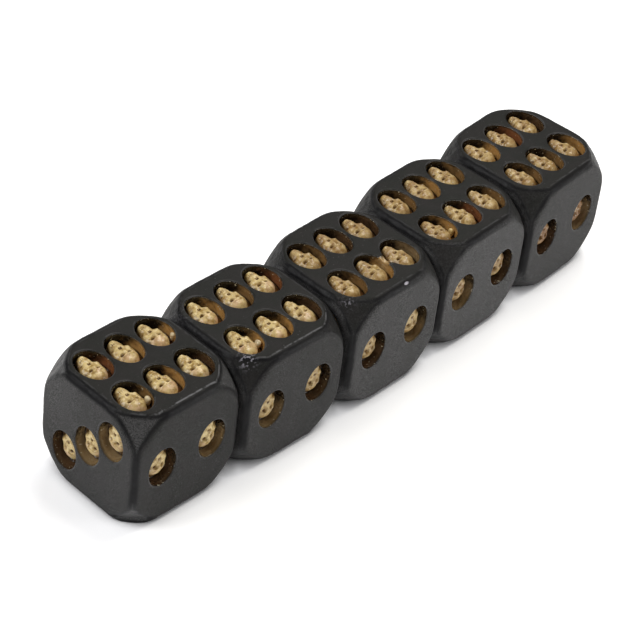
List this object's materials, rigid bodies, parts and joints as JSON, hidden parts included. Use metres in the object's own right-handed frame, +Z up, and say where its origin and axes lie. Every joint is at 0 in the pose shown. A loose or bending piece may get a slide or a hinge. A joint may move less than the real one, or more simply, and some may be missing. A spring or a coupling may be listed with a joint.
{
  "type": "set of skull-pip dice",
  "caption": "Small tabletop dice of dark cast resin lying side by side in a row, with ball-cut corners, and each pip an oval well that holds a bone-coloured skull.",
  "frame": {"origin": "on the table, under the middle of the row's box", "axes": "+Z up; +X along the row from the nearest die in the picture to the farthest; -Y towards the faces that show two"},
  "size_m": [0.092, 0.02, 0.018],
  "materials": {
    "dark_resin": "sanded charcoal resin, glossier and darker at the edges",
    "bone_resin": "satin bone with a brown wash in the recesses"
  },
  "bodies": {
    "die_1": {"die_1_body": "dark_resin", "die_1_skulls_one": "bone_resin", "die_1_skulls_two": "bone_resin", "die_1_skulls_three": "bone_resin", "die_1_skulls_four": "bone_resin", "die_1_skulls_five": "bone_resin", "die_1_skulls_six": "bone_resin"},
    "die_2": {"die_2_body": "dark_resin", "die_2_skulls_one": "bone_resin", "die_2_skulls_two": "bone_resin", "die_2_skulls_three": "bone_resin", "die_2_skulls_four": "bone_resin", "die_2_skulls_five": "bone_resin", "die_2_skulls_six": "bone_resin"},
    "die_3": {"die_3_body": "dark_resin", "die_3_skulls_one": "bone_resin", "die_3_skulls_two": "bone_resin", "die_3_skulls_three": "bone_resin", "die_3_skulls_four": "bone_resin", "die_3_skulls_five": "bone_resin", "die_3_skulls_six": "bone_resin"},
    "die_4": {"die_4_body": "dark_resin", "die_4_skulls_one": "bone_resin", "die_4_skulls_two": "bone_resin", "die_4_skulls_three": "bone_resin", "die_4_skulls_four": "bone_resin", "die_4_skulls_five": "bone_resin", "die_4_skulls_six": "bone_resin"},
    "die_5": {"die_5_body": "dark_resin", "die_5_skulls_one": "bone_resin", "die_5_skulls_two": "bone_resin", "die_5_skulls_three": "bone_resin", "die_5_skulls_four": "bone_resin", "die_5_skulls_five": "bone_resin", "die_5_skulls_six": "bone_resin"}
  },
  "joints": [
    {"name": "lift_2", "type": "slide", "parent": "die_1", "child": "die_2", "axis": [0, 0, 1], "range_m": [0, 0.036]},
    {"name": "lift_3", "type": "slide", "parent": "die_1", "child": "die_3", "axis": [0, 0, 1], "range_m": [0, 0.036]},
    {"name": "lift_4", "type": "slide", "parent": "die_1", "child": "die_4", "axis": [0, 0, 1], "range_m": [0, 0.036]},
    {"name": "lift_5", "type": "slide", "parent": "die_1", "child": "die_5", "axis": [0, 0, 1], "range_m": [0, 0.036]}
  ]
}
